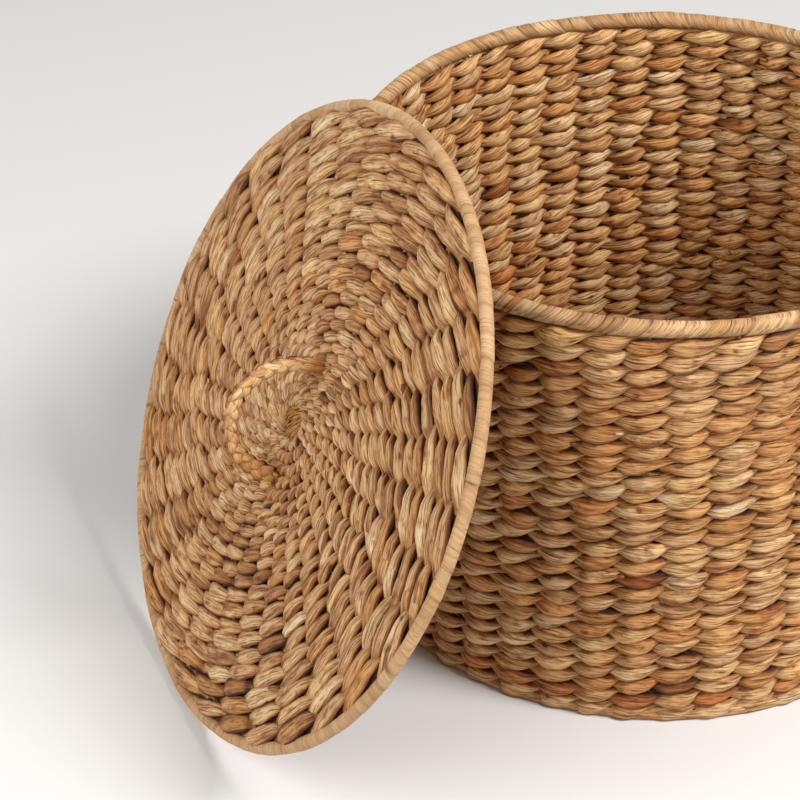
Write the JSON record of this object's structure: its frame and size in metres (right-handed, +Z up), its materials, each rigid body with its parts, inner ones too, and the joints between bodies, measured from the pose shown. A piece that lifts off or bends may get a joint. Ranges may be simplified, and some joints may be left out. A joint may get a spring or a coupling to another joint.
{
  "type": "laundry basket",
  "caption": "Round straight-sided woven laundry basket with a wrapped rim, and its round woven lid with a plaited loop handle leaning on the rim.",
  "frame": {"origin": "middle of the basket's underside, on the floor", "axes": "+Z up along the basket's axis; the lid leans on the rim on the -X side and a little towards -Y, with its outer face looking up and away from the basket"},
  "size_m": [0.6784, 0.6393, 0.4487],
  "materials": {
    "weave": "dried water-plant strands, twisted, matt with a slight sheen",
    "binding": "flat dried strips wound round the hoop, slight sheen",
    "plait": "three-strand plait of dried strands, slight gloss",
    "straw": "tuft of thin straw, matt",
    "cane": "thin peeled cane, matt"
  },
  "bodies": {
    "basket": {"upright_frame": "cane", "base_spoke_star": "cane", "base_weave_lower": "weave", "base_weave_upper": "weave", "base_centre_eye": "straw", "wall_weave_outer": "weave", "wall_weave_inner": "weave", "rim_hoop": "cane", "rim_binding": "binding"},
    "lid": {"lid_hoop": "cane", "lid_spoke_star": "cane", "lid_weave_top": "weave", "lid_weave_under": "weave", "lid_centre_eye": "straw", "lid_binding": "binding", "handle_knot_upper": "plait", "handle_knot_lower": "plait"},
    "handle": {"handle_loop": "plait"}
  },
  "joints": [
    {"name": "lid_lift", "type": "slide", "parent": "basket", "child": "lid", "axis": [0, 0, 1], "range_m": [0, 0.4]},
    {"name": "handle_flop", "type": "hinge", "parent": "lid", "child": "handle", "pos_m": [-0.28916, -0.1674, 0.23582], "axis": [0.4122, 0.1708, 0.8949], "range_deg": [-65, 65]}
  ]
}
